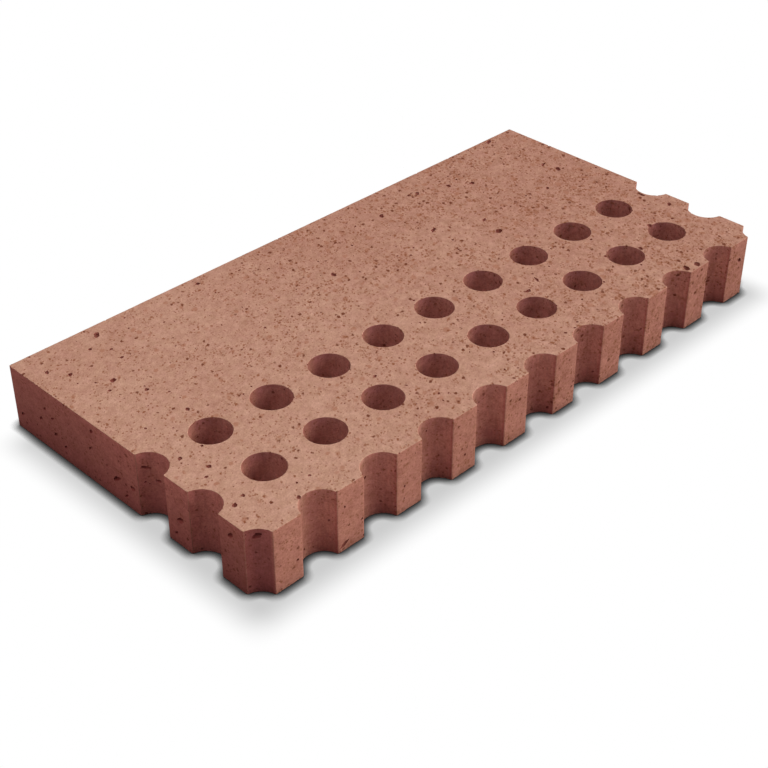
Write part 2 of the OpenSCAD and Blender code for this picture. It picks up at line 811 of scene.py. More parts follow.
class Wall(Enum):
    """The slab's surfaces that pores lie on, as the axis that each one faces and the way along it."""

    TOP = (2, 1)
    UNDERSIDE = (2, -1)
    FRONT = (1, -1)
    BACK = (1, 1)
    LEFT = (0, -1)
    RIGHT = (0, 1)

    @property
    def out(self) -> np.ndarray:
        """Give the direction out of the clay.

        Returns:
            The unit direction.
        """
        way = np.zeros(3)
        way[self.value[0]] = self.value[1]
        return way

    @property
    def spans(self) -> list[int]:
        """The two axes that the surface spreads along."""
        return [axis for axis in range(3) if axis != self.value[0]]

    def spot(self, sizes: TileSizes, first: float, second: float) -> np.ndarray:
        """Give a place on the surface.

        Args:
            sizes: The tile's box.
            first: Where it lies along the surface's first axis.
            second: Where it lies along its second one.

        Returns:
            The place.
        """
        place = np.zeros(3)
        place[self.spans] = (first, second)
        place[self.value[0]] = (sizes.high if self.value[1] > 0 else sizes.low)[self.value[0]]
        return place


@dataclass(frozen=True)
class Mark:
    """A hollow of the tile's own: where it lies on its surface and how large it is, in millimetres.

    Its turn is in degrees, from the surface's first axis to its second one. The lump that cuts it is a
    little larger than its brim will be.
    """

    wall: Wall
    first: float
    second: float
    length: float
    width: float
    turn: float = 0.0
    overcut: float = 1.18
    depth_share: float = 0.45

    def pit(self, sizes: TileSizes) -> Pit:
        """Turn the mark into a hollow to cut.

        Args:
            sizes: The tile's box.

        Returns:
            The hollow.
        """
        length, width = self.overcut * self.length * MM, self.overcut * self.width * MM
        place = self.wall.spot(sizes, self.first * MM, self.second * MM)
        along = np.zeros(3)
        along[self.wall.spans] = (math.cos(math.radians(self.turn)), math.sin(math.radians(self.turn)))
        depth = self.depth_share * width
        return Pit(Vector(place), Vector(self.wall.out), Vector(along), length, width, depth)


MARKS = (
    Mark(Wall.TOP, 134, 17, 6.5, 5.5, 20),
    Mark(Wall.TOP, 265, 57, 6, 4, 55),
    Mark(Wall.TOP, -223, 134, 6.5, 4, 55),
    Mark(Wall.TOP, -252, 73, 5.5, 3.5, 30),
    Mark(Wall.TOP, -283, -108, 4, 3.5, 70),
    Mark(Wall.TOP, 200, -140, 7, 4.5, 60),
    Mark(Wall.TOP, 212, -143, 6, 4.5, 45),
    Mark(Wall.TOP, 261, 143, 8, 3, 25),
    Mark(Wall.TOP, 79, 111, 5.5, 3.5, 55),
    Mark(Wall.TOP, -23, 67, 5, 3.5, 70),
    Mark(Wall.TOP, 94, 60, 7, 3, 25),
    Mark(Wall.TOP, 185, 96, 4.5, 4),
    Mark(Wall.TOP, -268, -62, 3.5, 3),
    Mark(Wall.TOP, -271, 103, 4, 3, 50),
    Mark(Wall.TOP, 262, 73, 6, 2.5, 20),
    Mark(Wall.TOP, 133, 118, 5, 3, 45),
    Mark(Wall.TOP, 75, -68, 4.5, 3),
    Mark(Wall.TOP, 165, 108, 4.5, 3, 80),
    Mark(Wall.TOP, -115, 138, 4, 3),
    Mark(Wall.TOP, -282, 118, 4, 2.5, 65),
    Mark(Wall.TOP, -241, 45, 3.2, 3),
    Mark(Wall.TOP, -277, -40, 4, 2.5, 30),
    Mark(Wall.TOP, 280, -32, 6, 2.5, 85),
    Mark(Wall.TOP, 283, -61, 5.5, 3, 30),
    Mark(Wall.TOP, 238, -72.5, 5, 3.5, 50),
    Mark(Wall.TOP, 167.5, -79.5, 5, 3, 140),
    Mark(Wall.TOP, 199, -92, 4.5, 3, 70),
    Mark(Wall.TOP, 228, 39, 3.4, 2.6, 20),
    Mark(Wall.TOP, 140, 40, 4.5, 2.4, 30),
    Mark(Wall.TOP, 94, -61, 6, 2, 65),
    Mark(Wall.TOP, 125, 121, 3.4, 2.6),
    Mark(Wall.TOP, -235, 3, 3.8, 2.8, 60),
    Mark(Wall.TOP, -239, 121, 3.2, 2.4, 20),
    Mark(Wall.TOP, -228, 94, 3, 2.4),
    Mark(Wall.TOP, -262, 64, 2.8, 2.4),
    Mark(Wall.TOP, -277, -70, 2.8, 2.4),
    Mark(Wall.TOP, -272, -104, 3.2, 2.6, 40),
    Mark(Wall.TOP, -246, -133, 3.6, 2.6, 50),
    Mark(Wall.TOP, -105, -66, 3.2, 2.4, 30),
    Mark(Wall.LEFT, 14, 20, 9.5, 3.4, 141),
    Mark(Wall.LEFT, -6, 22, 5.5, 3.6, 171),
    Mark(Wall.LEFT, 3, 10, 4.6, 1.6, 131),
    Mark(Wall.LEFT, 41, 50, 4.8, 2.4, 137),
    Mark(Wall.LEFT, 45, 32, 4.4, 1.6, 135),
    Mark(Wall.LEFT, 80, 14, 4, 2, 141),
    Mark(Wall.LEFT, 92, 20, 4.6, 2.2, 142),
    Mark(Wall.LEFT, 94, 34, 4.6, 1.8, 142),
    Mark(Wall.LEFT, 103, 39, 3.6, 1.8, 138),
    Mark(Wall.LEFT, 111, 26, 4.8, 2.4, 140),
    Mark(Wall.LEFT, 138, 16, 4.8, 2.2, 142),
    Mark(Wall.LEFT, -62, 25, 6.8, 4, 150),
    Mark(Wall.LEFT, -56, 10, 3.6, 1.8, 134),
    Mark(Wall.LEFT, -119, 46, 5.6, 3.2, 140),
    Mark(Wall.FRONT, -217, 6, 8, 2.6, 30),
    Mark(Wall.FRONT, -128, 24, 2.8, 2.2),
    Mark(Wall.FRONT, -262, 19, 2.4, 2),
    Mark(Wall.FRONT, -89, 17, 2.4, 2),
    Mark(Wall.FRONT, 127, 41, 3, 2, 70),
    Mark(Wall.FRONT, 274, 38, 4.5, 3.4, 140),
)


@dataclass(frozen=True)
class Nick:
    """A chip in the wall of a bite at the left end, in millimetres.

    Its row counts from the front, its turn is the way from the bite's middle in degrees, its drop is how
    far below the top it is, and its slope is how much it rises along the wall, seen from above leftwards.
    """

    row: int
    turn: float
    drop: float
    length: float
    width: float
    slope: float
    depth_share: float = 0.38

    def pit(self, sizes: TileSizes) -> Pit:
        """Turn the nick into a shallow hollow to cut.

        Args:
            sizes: The tile's box and holes.

        Returns:
            The hollow.
        """
        angle = math.radians(self.turn)
        spoke = Vector((math.cos(angle), math.sin(angle), 0.0))
        axis = Vector((sizes.column_x[0], sizes.row_y[self.row], sizes.high[2] - self.drop * MM))
        along = Vector((-spoke.y, spoke.x, self.slope)).normalized()
        length, width = self.length * MM, self.width * MM
        return Pit(axis + sizes.hole_radius * spoke, -spoke, along, length, width, self.depth_share * width)


NICKS = (
    Nick(0, 48, 6.2, 7.5, 4.2, -0.45),
    Nick(2, 57, 14, 7.5, 2.8, 0.45),
    Nick(2, 27, 26.5, 4.5, 2.4, 0.1),
)


@dataclass
class PitCutter:
    """Collects pits that don't touch one another and makes one mesh of them all, as rough lumps.

    A longer pit's lump is made of more faces. Each lump swells slowly and quickly round its ball, given
    as how much and how often, and is shaped by its number and the seed. A pit that lies deeper inside the
    slab's box than a skin's thickness is in the wall of a hole or a bite.
    """

    sizes: TileSizes
    painted_shading: PaintedWallShading = PaintedWallShading()
    seed: int = 20
    pits: list = field(default_factory=list)
    clearance: float = 0.5 * MM
    skin: float = 0.5 * MM
    length_share: float = 0.75
    finer_over: Span = (1.5 * MM, 3.4 * MM)
    slow_swell: Span = (0.42, 1.3)
    quick_swell: Span = (0.2, 3.1)
    number_step: float = 7.3
    seed_step: float = 3.1

    def add(self, pit: Pit) -> None:
        """Keep a pit if it is clear of all the others.

        Args:
            pit: The pit to add.
        """
        for other in self.pits:
            apart = (pit.place - other.place).length
            if apart < self.length_share * (pit.length + other.length) + self.clearance:
                return
        self.pits.append(pit)

    def build(self) -> bpy.types.Object:
        """Make the mesh of all the lumps.

        Returns:
            The new object, whose faces and points carry over to the hollows that it cuts.
        """
        points, faces, lost = [], [], []
        for number, pit in enumerate(self.pits):
            detail = 1 + sum(pit.length > limit for limit in self.finer_over)
            self.lump(pit, detail, number, points, faces)
            lost += [self.painted_shading_of(pit)] * (len(points) - len(lost))
        mesh = bpy.data.meshes.new("pits")
        mesh.from_pydata(points, [], faces)
        mesh.polygons.foreach_set("use_smooth", [True] * len(faces))
        Trait.HOLLOW.write(mesh, np.ones(len(faces)))
        Trait.LOST.write(mesh, lost)
        mesh.update()
        return placed("pits", mesh)

    def painted_shading_of(self, pit: Pit) -> np.ndarray:
        """Give the painted shade and light in a pit, which is that of the wall around it, and none on the
        faces.

        Args:
            pit: The pit.

        Returns:
            The loss of red, green and blue.
        """
        if abs(pit.out.z) > 0.5:
            return np.zeros(3)
        low, high = self.sizes.low, self.sizes.high
        place, out = np.array(pit.place)[:2], np.array(pit.out)[:2]
        edge = np.minimum(place - low[:2], high[:2] - place).min()
        spot = Contour(place[None], out[None], np.array([edge > self.skin]), edge > self.painted_shading.near_side)
        share = (pit.place.z - low[2]) / (high[2] - low[2])
        return self.painted_shading.loss_at(spot, self.sizes, self.painted_shading.plan_loss(spot, self.sizes), share)[0]

    def lump(self, pit: Pit, detail: int, number: int, points: list, faces: list) -> None:
        """Add one rough lump to the mesh being collected.

        Args:
            pit: The pit that it stands for.
            detail: How many times its ball is divided.
            number: The pit's number, which gives it a shape of its own.
            points: Points collected so far.
            faces: Faces collected so far.
        """
        other = pit.out.cross(pit.along)
        ball_points, ball_faces = ball(detail)
        start = len(points)
        shift = Vector((number * self.number_step, self.seed * self.seed_step, 0.0))
        (slow, slow_rate), (quick, quick_rate) = self.slow_swell, self.quick_swell
        for spoke in ball_points:
            swell = 1 + slow * noise.noise(spoke * slow_rate + shift)
            swell += quick * noise.noise(spoke * quick_rate + shift)
            long, wide, deep = spoke * swell
            offset = pit.along * long * pit.length / 2 + other * wide * pit.width / 2
            points.append(tuple(pit.place + offset + pit.out * deep * pit.depth))
        faces.extend(tuple(start + corner for corner in face) for face in ball_faces)


@lru_cache
def ball(divisions: int) -> tuple[list[Vector], list[tuple[int, ...]]]:
    """Give the points and faces of a ball of radius 1 made of near-equal triangles.

    Args:
        divisions: 1 for the twenty-sided solid, and 4 times its faces with each one more.

    Returns:
        The points, as directions, and the faces.
    """
    shape = bmesh.new()
    bmesh.ops.create_icosphere(shape, subdivisions=divisions, radius=1.0)
    points = [vertex.co.normalized() for vertex in shape.verts]
    faces = [tuple(vertex.index for vertex in face.verts) for face in shape.faces]
    shape.free()
    return points, faces


@dataclass
class PoreScatter:
    """Scatters pores over the slab's faces and down its holes, and nibbles along its arrises.

    Widths and depths are shares of a pore's or a nibble's length. A narrow pore's depth goes by its width
    times the steepest instead, where that is less.
    """

    sizes: TileSizes
    cutter: PitCutter
    seed: int = 7
    per_square_metre: float = 1500.0
    smallest: float = 1.2 * MM
    largest: float = 2.9 * MM
    mostly_small: float = 2.6
    big_per_square_metre: float = 110.0
    big_range: Span = (3.2 * MM, 6.5 * MM)
    width_range: Span = (0.5, 0.95)
    depth_range: Span = (0.35, 0.6)
    steepest: float = 1.3
    backing: float = 2 * MM
    hole_margin: float = 0.3
    wall_width: float = 0.8
    wall_depth: float = 0.5
    wall_ends: float = 2 * MM
    side_margin: float = 1 * MM
    nibbles_per_metre: float = 26.0
    nibble_range: Span = (1.2, 3.0)
    nibble_rise: Span = (0.0, 0.25)
    nibble_width: Span = (0.5, 0.9)
    nibble_depth: float = 0.4

    def scatter(self) -> None:
        """Fill the cutter with the tile's own marks and nicks, and then with seeded pores and nibbles."""
        for own in (*MARKS, *NICKS):
            self.cutter.add(own.pit(self.sizes))
        rng = np.random.default_rng(self.seed)
        marked = {mark.wall for mark in MARKS}
        for wall in Wall:
            area = float(np.prod((self.sizes.high - self.sizes.low)[wall.spans]))
            if wall not in marked:
                for _ in range(round(area * self.big_per_square_metre)):
                    self.drop(rng, wall, rng.uniform(*self.big_range))
            for _ in range(round(area * self.per_square_metre)):
                self.drop(rng, wall, self.small_size(rng))
        self.pit_hole_walls(rng)
        self.nibble_arrises(rng)

    def small_size(self, rng: np.random.Generator) -> float:
        """Draw the size of a common pore, most of them small."""
        return self.smallest + (self.largest - self.smallest) * rng.random() ** self.mostly_small

    def drop(self, rng: np.random.Generator, wall: Wall, size: float) -> None:
        """Try one pore of a given size anywhere on one of the slab's surfaces.

        Args:
            rng: The source of chance.
            wall: The surface.
            size: The pore's length.
        """
        corners = self.sizes.low[wall.spans], self.sizes.high[wall.spans]
        place = wall.spot(self.sizes, *rng.uniform(*corners))
        width = size * rng.uniform(*self.width_range)
        depth = min(size, width * self.steepest) * rng.uniform(*self.depth_range)
        along = turned(Vector(wall.out), rng.uniform(0, math.pi))
        if self.open_at(place, wall.out, size):
            self.cutter.add(Pit(Vector(place), Vector(wall.out), along, size, width, depth))

    def open_at(self, place: np.ndarray, out: np.ndarray, size: float) -> bool:
        """Say whether clay lies behind a spot on one of the box's faces.

        Args:
            place: The spot.
            out: The way out of the clay there.
            size: The length of the pore that would lie there.

        Returns:
            True if the pore would be clear of every hole and bite.
        """
        inner = place - out * self.backing
        clear = self.sizes.hole_radius + self.hole_margin * size
        return all(math.hypot(inner[0] - x, inner[1] - y) >= clear for x, y in self.sizes.crossings)

    def pit_hole_walls(self, rng: np.random.Generator) -> None:
        """Scatter pores down the walls of the holes and bites.

        Args:
            rng: The source of chance.
        """
        low, high = self.sizes.low, self.sizes.high
        radius = self.sizes.hole_radius
        area = 2 * math.pi * radius * float(high[2] - low[2])
        for x, y in self.sizes.crossings:
            for _ in range(round(area * self.per_square_metre)):
                angle = rng.uniform(0, 2 * math.pi)
                height = rng.uniform(low[2] + self.wall_ends, high[2] - self.wall_ends)
                spoke = np.array([math.cos(angle), math.sin(angle), 0.0])
                place = np.array([x, y, height]) + radius * spoke
                if np.minimum(place - low, high - place)[:2].min() <= self.side_margin:
                    continue
                size, out = self.small_size(rng), Vector(-spoke)
                along = turned(out, rng.uniform(0, math.pi))
                width, depth = self.wall_width * size, self.wall_depth * size
                self.cutter.add(Pit(Vector(place), out, along, size, width, depth))

    def nibble_arrises(self, rng: np.random.Generator) -> None:
        """Chip small crumbs out of the rims and edges at both faces.

        Args:
            rng: The source of chance.
        """
        for contour in PlanTracer(self.sizes).contours():
            length = contour.reach[-1]
            for height, up in ((self.sizes.high[2], 1.0), (self.sizes.low[2], -1.0)):
                for _ in range(round(length * self.nibbles_per_metre)):
                    spot = rng.integers(len(contour.points))
                    out = Vector((*contour.outward[spot], up)).normalized()
                    size = rng.uniform(*self.nibble_range) * MM
                    rise = out * rng.uniform(*self.nibble_rise) * size
                    place = Vector((*contour.points[spot], height)) + rise
                    along = turned(out, rng.uniform(0, math.pi))
                    width = size * rng.uniform(*self.nibble_width)
                    self.cutter.add(Pit(place, out, along, size, width, size * self.nibble_depth))


# ---------------------------------------------------------------------------------------------------
# Flat map of the surface
# ---------------------------------------------------------------------------------------------------


@dataclass
class ClayMap:
    """Lays the whole surface out flat: both faces, the outside wall in strips and each hole unrolled."""

    sizes: TileSizes
    gap: float = 2.5 * MM
    steep: float = 0.7
    strips: int = 3
    holes_across: int = 2

    def __post_init__(self) -> None:
        """Trace the walls, so that any spot near them can be given its place along them."""
        self.contours = PlanTracer(self.sizes).contours()
        self.points = np.concatenate([contour.points for contour in self.contours])
        self.outward = np.concatenate([contour.outward for contour in self.contours])
        self.reach = np.concatenate([contour.reach[:-1] for contour in self.contours])
        owners = [np.full(len(contour.points), number) for number, contour in enumerate(self.contours)]
        self.owner = np.concatenate(owners)
        self.tree = sorted_places([Vector((x, y, 0.0)) for x, y in self.points])

    def unroll(self, mesh: bpy.types.Mesh) -> None:
        """Give a mesh of the tile its map.

        Args:
            mesh: The finished mesh.
        """
        centres = read(mesh.polygons, "center", width=3)
        normals = read(mesh.polygons, "normal", width=3)
        totals = read(mesh.polygons, "loop_total", np.int32)
        places = read(mesh.vertices, "co", width=3)[read(mesh.loops, "vertex_index", np.int32)]
        faces = np.repeat(np.arange(len(centres)), totals)

        near = np.array([self.tree.find((x, y, 0.0))[1] for x, y, _ in centres])
        wall_gap = np.abs(((centres[:, :2] - self.points[near]) * self.outward[near]).sum(axis=1))
        face_gap = np.minimum(self.sizes.high[2] - centres[:, 2], centres[:, 2] - self.sizes.low[2])
        flat = np.where(in_hollows(mesh), face_gap < wall_gap, np.abs(normals[:, 2]) > self.steep)
        upper = centres[:, 2] > (self.sizes.low[2] + self.sizes.high[2]) / 2

        spots = self.on_face(places, upper[faces])
        spots[~flat[faces]] = self.on_wall(places, near[faces], centres[faces])[~flat[faces]]
        layer = mesh.uv_layers.new(name="OFBake")
        layer.data.foreach_set("uv", (spots / self.side).astype(np.float32).ravel())

    @property
    def block(self) -> np.ndarray:
        """The room that one flat face takes."""
        return self.sizes.high[:2] - self.sizes.low[:2] + self.gap

    @property
    def strip_height(self) -> float:
        """The room that one strip of wall takes upwards."""
        return float(self.sizes.high[2] - self.sizes.low[2]) + self.gap

    @property
    def strip_length(self) -> float:
        """How much of the outside wall one strip holds."""
        return self.contours[0].reach[-1] / self.strips

    @property
    def hole_room(self) -> float:
        """The room that one unrolled hole takes sideways."""
        return self.contours[-1].reach[-1] + self.gap

    @property
    def side(self) -> float:
        """Give the side of the square that everything fits in.

        Returns:
            Its length.
        """
        across = self.block[0] + self.holes_across * self.hole_room
        upwards = 2 * self.block[1] + self.strips * self.strip_height
        return float(max(across, self.strip_length, upwards)) + 2 * self.gap

    def on_face(self, places: np.ndarray, upper: np.ndarray) -> np.ndarray:
        """Map spots of the two flat faces, the underside above the top.

        Args:
            places: The spots.
            upper: Which of them lie on the upper face.

        Returns:
            Each spot's place on the map.
        """
        spots = places[:, :2] - self.sizes.low[:2] + self.gap
        spots[:, 1] += np.where(upper, 0.0, self.block[1])
        return spots

    def on_wall(self, places: np.ndarray, near: np.ndarray, centres: np.ndarray) -> np.ndarray:
        """Map spots of the walls.

        Args:
            places: The corners of faces.
            near: The contour point nearest to each corner's face.
            centres: The middle of each corner's face.

        Returns:
            Each corner's place on the map.
        """
        ways = np.stack([-self.outward[near][:, 1], self.outward[near][:, 0]], axis=1)
        middle = self.reach[near] + ((centres[:, :2] - self.points[near]) * ways).sum(axis=1)
        along = middle + ((places[:, :2] - centres[:, :2]) * ways).sum(axis=1)
        up = places[:, 2] - self.sizes.low[2]
        strip = np.clip(middle // self.strip_length, 0, self.strips - 1)
        outside = np.stack([along - strip * self.strip_length + self.gap,
                            2 * self.block[1] + self.gap + strip * self.strip_height + up], axis=1)
        number = self.owner[near] - 1
        inside = np.stack([self.block[0] + self.gap + number % self.holes_across * self.hole_room + along,
                           self.gap + number // self.holes_across * self.strip_height + up], axis=1)
        return np.where((self.owner[near] == 0)[:, None], outside, inside)


# ---------------------------------------------------------------------------------------------------
# Finishes
# ---------------------------------------------------------------------------------------------------

WHITE: Colour = (1.0, 1.0, 1.0, 1.0)
ONES: Triple = (1.0, 1.0, 1.0)


class NodeSketch:
    """Short calls that add shader nodes to one new material or sky."""

    def __init__(self, owner: bpy.types.Material | bpy.types.World) -> None:
        """Start with no nodes.

        Args:
            owner: The material or sky.
        """
        owner.use_nodes = True
        self.tree = owner.node_tree
        self.tree.nodes.clear()

    def add(self, kind: str, **settings: object) -> bpy.types.Node:
        """Add a node.

        Args:
            kind: The node's kind.
            settings: Its properties.

        Returns:
            The node.
        """
        node = self.tree.nodes.new(kind)
        for name, value in settings.items():
            setattr(node, name, value)
        return node

    def feed(self, target: Socket, value: object) -> None:
        """Link a socket to an input, or set the input to a plain value.

        Args:
            target: The input.
            value: The socket or the plain value.
        """
        if isinstance(value, bpy.types.NodeSocket):
            self.tree.links.new(value, target)
        else:
            target.default_value = value

    def run(self, kind: str, inputs: dict, output: int | str = 0, **settings: object) -> Socket:
        """Add a node and feed it.

        Args:
            kind: The node's kind.
            inputs: What goes into it, by the input's name or number.
            output: The name or number of the output that is wanted.
            settings: The node's properties.

        Returns:
            That output.
        """
        node = self.add(kind, **settings)
        for name, value in inputs.items():
            self.feed(node.inputs[name], value)
        return node.outputs[output]

    def show(self, shader: Socket, kind: str = "ShaderNodeOutputMaterial") -> None:
        """Make a shader the one that shows."""
        self.feed(self.add(kind).inputs["Surface"], shader)

    def place(self) -> Socket:
        """Give the spot on the object in millimetres."""
        return self.scaled(self.run("ShaderNodeTexCoord", {}, "Object"), 1 / MM)

    def noise(self, where: Socket, size: float, detail: float, roughness: float, offset: float) -> Socket:
        """Add cloudy noise.

        Args:
            where: The spot in millimetres.
            size: Width of its clouds in millimetres.
            detail: How many finer layers it has.
            roughness: How strong those are.
            offset: A shift that gives it a pattern of its own.

        Returns:
            A value around 0.5.
        """
        shifted = self.vector("ADD", where, (offset,) * 3)
        inputs = {"Vector": shifted, "Scale": 1 / size, "Detail": detail, "Roughness": roughness}
        return self.run("ShaderNodeTexNoise", inputs, "Fac")

    def vector(self, operation: str, first: object, second: object = (0.0, 0.0, 0.0)) -> Socket:
        """Work out one vector from two."""
        return self.run("ShaderNodeVectorMath", {0: first, 1: second}, operation=operation)

    def measure(self, operation: str, first: object, second: object = (0.0, 0.0, 0.0)) -> Socket:
        """Work out one value from one or two vectors."""
        return self.run("ShaderNodeVectorMath", {0: first, 1: second}, "Value", operation=operation)

    def scaled(self, vector: object, factor: object) -> Socket:
        """Make a vector, or a colour, longer or shorter."""
        return self.run("ShaderNodeVectorMath", {0: vector, "Scale": factor}, operation="SCALE")

    def split(self, vector: Socket) -> bpy.types.bpy_prop_collection:
        """Take a vector apart, into its three values."""
        return self.run("ShaderNodeSeparateXYZ", {0: vector}).node.outputs

    def math(self, operation: str, first: object, second: object = 0.0) -> Socket:
        """Work out one value from two."""
        return self.run("ShaderNodeMath", {0: first, 1: second}, operation=operation)

    def product(self, first: object, *others: object) -> Socket:
        """Multiply values, from the first to the last.

        Args:
            first: The first value.
            others: The values that it is multiplied by.

        Returns:
            The product.
        """
        for other in others:
            first = self.math("MULTIPLY", first, other)
        return first

    def rest(self, value: Socket) -> Socket:
        """Give what is left of 1."""
        return self.math("SUBTRACT", 1.0, value)

    def between(self, value: Socket, start: object, end: object, low: float = 0.0,
                high: float = 1.0) -> Socket:
        """Map a value smoothly from one range to another and hold it there."""
        inputs = {"Value": value, "From Min": start, "From Max": end, "To Min": low, "To Max": high}
        return self.run("ShaderNodeMapRange", inputs, "Result", interpolation_type="SMOOTHSTEP")

    def span(self, value: Socket, low: float, high: float) -> Socket:
        """Stretch a value from 0..1 to another range."""
        return self.run("ShaderNodeMapRange", {"Value": value, "To Min": low, "To Max": high}, "Result")

    def mix(self, share: object, first: object, second: object, blend: str = "MIX") -> Socket:
        """Mix two colours."""
        inputs = {0: share, 6: first, 7: second}
        return self.run("ShaderNodeMix", inputs, 2, data_type="RGBA", blend_type=blend)

    def attribute(self, trait: Trait) -> Socket:
        """Read what the mesh says at its points or faces."""
        output = "Vector" if trait is Trait.LOST else "Fac"
        return self.run("ShaderNodeAttribute", {}, output, attribute_name=trait.value[0])

    def seen(self) -> Socket:
        """Say whether a ray comes from the camera, straight or by way of gloss or glass.

        Returns:
            1 if it does, and 0 if not.
        """
        rays = self.add("ShaderNodeLightPath").outputs
        direct = self.math("MAXIMUM", rays["Is Camera Ray"], rays["Is Glossy Ray"])
        return self.math("MAXIMUM", direct, rays["Is Transmission Ray"])


@dataclass(frozen=True)
class Clouds:
    """Cloudy noise over the clay.

    Its size is the width of its clouds in millimetres, its detail is how many finer layers it has, and its
    roughness is how strong those are. Its offset gives it a pattern of its own, and its depth is how much
    it changes what it is laid on.
    """

    size: float
    detail: float
    roughness: float
    offset: float
    depth: float = 1.0

    def add(self, s: NodeSketch, where: Socket) -> Socket:
        """Give the noise itself, around 0.5."""
        return s.noise(where, self.size, self.detail, self.roughness, self.offset)

    def laid(self, s: NodeSketch, where: Socket) -> Socket:
        """Give the noise times its depth."""
        return s.product(self.add(s, where), self.depth)

    def swing(self, s: NodeSketch, where: Socket) -> Socket:
        """Give the noise around 0, times its depth."""
        return s.product(s.math("SUBTRACT", self.add(s, where), 0.5), self.depth)


@dataclass(frozen=True)
class Specks:
    """One size of dark grains in the clay: how close they may lie, their radii and how many there are."""

    spacing: float
    smallest: float
    largest: float
    share: float
    offset: float
    faintest: float
    strongest: float
    softness: float

    def mask(self, s: NodeSketch, where: Socket, crowd: Socket, swell: Socket) -> Socket:
        """Add the nodes that find these grains.

        Args:
            s: The material being made.
            where: The spot in millimetres, already a little bent.
            crowd: How crowded the grains are there, around 1.
            swell: How large they are there, around 1.

        Returns:
            How strong the grain is at a spot, 0 outside grains.
        """
        shifted = s.vector("ADD", where, (self.offset,) * 3)
        inputs = {"Vector": shifted, "Scale": 1 / self.spacing}
        cells = s.run("ShaderNodeTexVoronoi", inputs, feature="F1", voronoi_dimensions="3D").node.outputs
        drawn, size, strength = s.run("ShaderNodeSeparateColor", {0: cells["Color"]}).node.outputs
        apart = s.product(cells["Distance"], self.spacing)
        radius = s.product(swell, s.span(size, self.smallest, self.largest))
        kept = s.math("LESS_THAN", drawn, s.product(crowd, self.share))
        inner = s.math("SUBTRACT", radius, self.softness)
        outer = s.math("ADD", radius, self.softness)
        shape = s.product(kept, s.between(apart, inner, outer, 1.0, 0.0))
        return s.product(shape, s.span(strength, self.faintest, self.strongest))


